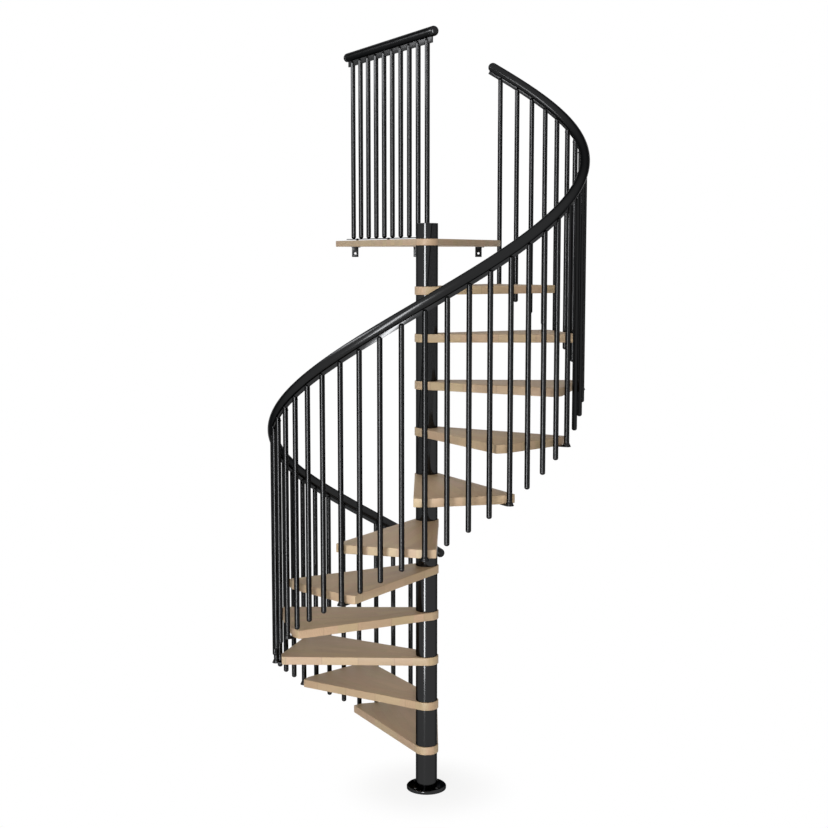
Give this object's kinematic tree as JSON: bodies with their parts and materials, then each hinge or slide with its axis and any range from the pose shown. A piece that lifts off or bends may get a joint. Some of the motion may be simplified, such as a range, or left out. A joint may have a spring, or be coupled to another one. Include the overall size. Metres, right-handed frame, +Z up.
{
  "type": "spiral staircase",
  "caption": "Spiral staircase with wooden wedge treads on a black steel column, hanging round balusters, a helical handrail and a wooden landing with a straight railing.",
  "frame": {"origin": "middle of the underside of the base flange, on the floor", "axes": "+Z up along the column; -Y is the front; +Y points from the column to the landing's wall edge; the stair climbs anticlockwise seen from above"},
  "size_m": [1.5588, 1.7177, 3.7708],
  "materials": {
    "black_steel": "satin powder coat",
    "baluster_steel": "satin powder coat",
    "band_steel": "satin powder coat",
    "bracket_steel": "satin powder coat",
    "handrail_plastic": "satin, finely grained",
    "tread_wood": "clear matt lacquer on glued staves"
  },
  "bodies": {
    "root": {"base_flange": "black_steel", "centre_pole": "black_steel", "pole_cap": "black_steel", "spacer_01": "black_steel", "spacer_02": "black_steel", "spacer_03": "black_steel", "spacer_04": "black_steel", "spacer_05": "black_steel", "spacer_06": "black_steel", "spacer_07": "black_steel", "spacer_08": "black_steel", "spacer_09": "black_steel", "spacer_10": "black_steel", "spacer_11": "black_steel", "spacer_12": "black_steel", "tread_01": "tread_wood", "tread_02": "tread_wood", "tread_03": "tread_wood", "tread_04": "tread_wood", "tread_05": "tread_wood", "tread_06": "tread_wood", "tread_07": "tread_wood", "tread_08": "tread_wood", "tread_09": "tread_wood", "tread_10": "tread_wood", "tread_11": "tread_wood", "landing": "tread_wood", "tread_brackets": "bracket_steel", "balusters_01": "baluster_steel", "balusters_02": "baluster_steel", "balusters_03": "baluster_steel", "balusters_04": "baluster_steel", "balusters_05": "baluster_steel", "balusters_06": "baluster_steel", "balusters_07": "baluster_steel", "balusters_08": "baluster_steel", "balusters_09": "baluster_steel", "balusters_10": "baluster_steel", "balusters_11": "baluster_steel", "handrail": "handrail_plastic", "rail_bands": "band_steel", "landing_balusters": "baluster_steel", "landing_base_bar": "bracket_steel", "landing_handrail": "handrail_plastic", "wall_brackets": "bracket_steel"}
  },
  "joints": []
}
